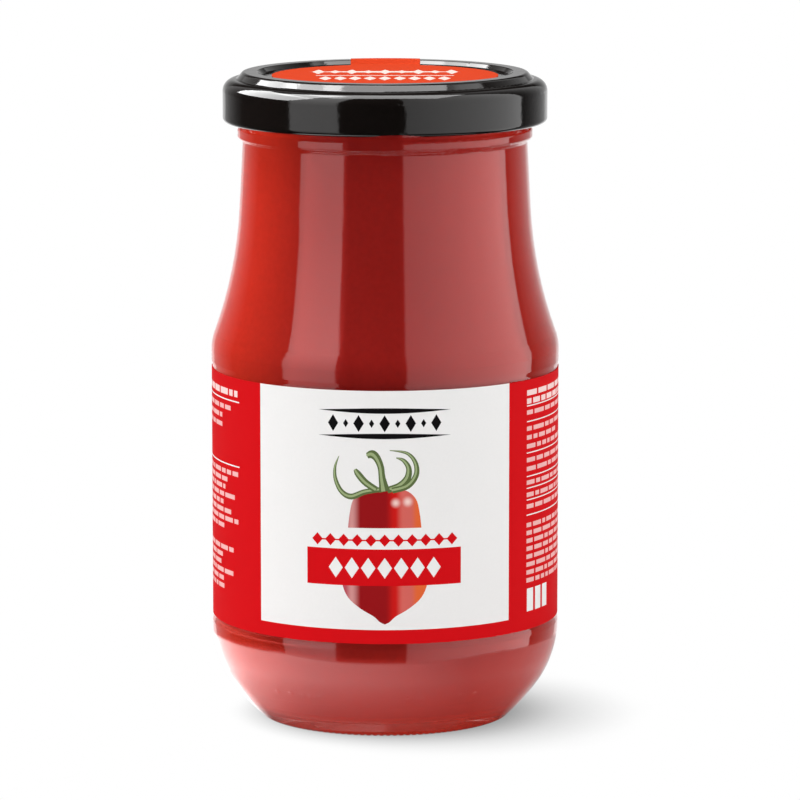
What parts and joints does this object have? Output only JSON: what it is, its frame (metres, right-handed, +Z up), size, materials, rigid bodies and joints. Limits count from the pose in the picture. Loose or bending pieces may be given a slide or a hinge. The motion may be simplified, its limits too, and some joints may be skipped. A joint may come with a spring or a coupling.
{
  "type": "passata jar",
  "caption": "Round glass jar of tomato passata with a flared body, narrower neck, black twist-off lid, wrap label and paper seal over the lid",
  "frame": {"origin": "middle of the jar's foot, on the surface it stands on", "axes": "+Z up along the jar's axis, -Y towards the front of the label, +X to its right"},
  "size_m": [0.071, 0.071, 0.1324],
  "materials": {
    "clear_glass": "clear moulded flint glass, glossy",
    "passata": "smooth deep red tomato passata, wet",
    "black_lacquer": "gloss black lacquer on tinplate",
    "label_paper": "coated label paper, satin, red with a white front panel",
    "seal_paper": "coated paper, satin, orange red"
  },
  "bodies": {
    "root": {"glass_jar": "clear_glass", "passata": "passata", "lid": "black_lacquer", "label": "label_paper", "lid_seal": "seal_paper"}
  },
  "joints": []
}
